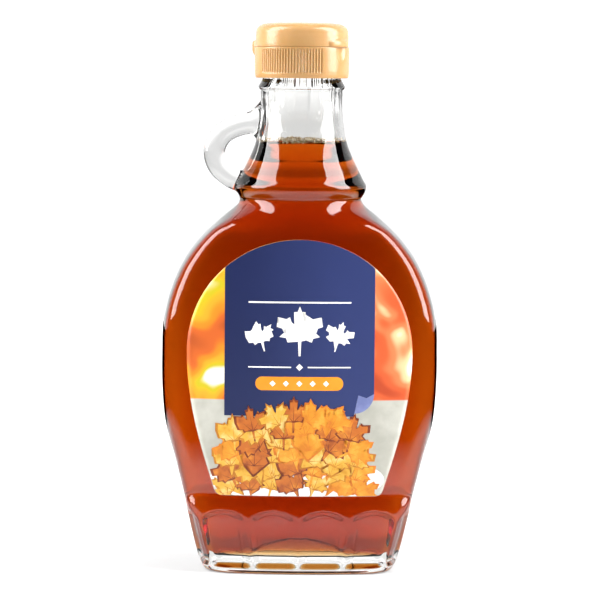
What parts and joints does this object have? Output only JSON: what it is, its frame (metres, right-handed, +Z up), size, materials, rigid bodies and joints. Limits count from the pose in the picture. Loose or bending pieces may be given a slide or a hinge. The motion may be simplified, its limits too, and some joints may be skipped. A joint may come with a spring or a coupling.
{
  "type": "maple syrup bottle",
  "caption": "Flat flask-shaped glass bottle of maple syrup with a small loop handle at its neck, fluted foot, a printed front label and a plastic flip-top cap.",
  "frame": {"origin": "middle of the base, on the surface that the bottle stands on", "axes": "+Z up; -Y out of the front label; -X towards the handle"},
  "size_m": [0.088, 0.047, 0.1739],
  "materials": {
    "clear_glass": "clear moulded soda-lime glass",
    "amber_syrup": "clear amber syrup",
    "printed_label": "printed satin film label",
    "cap_plastic": "satin moulded polypropylene"
  },
  "bodies": {
    "bottle_body": {"bottle": "clear_glass", "syrup": "amber_syrup", "label_front": "printed_label", "cap_base": "cap_plastic"},
    "lid": {"cap_lid": "cap_plastic"}
  },
  "joints": [
    {"name": "lid_hinge", "type": "hinge", "parent": "bottle_body", "child": "lid", "pos_m": [-0.01384, 0.00944, 0.1663], "axis": [-0.5635, -0.8261, 0], "range_deg": [0, 130]}
  ]
}
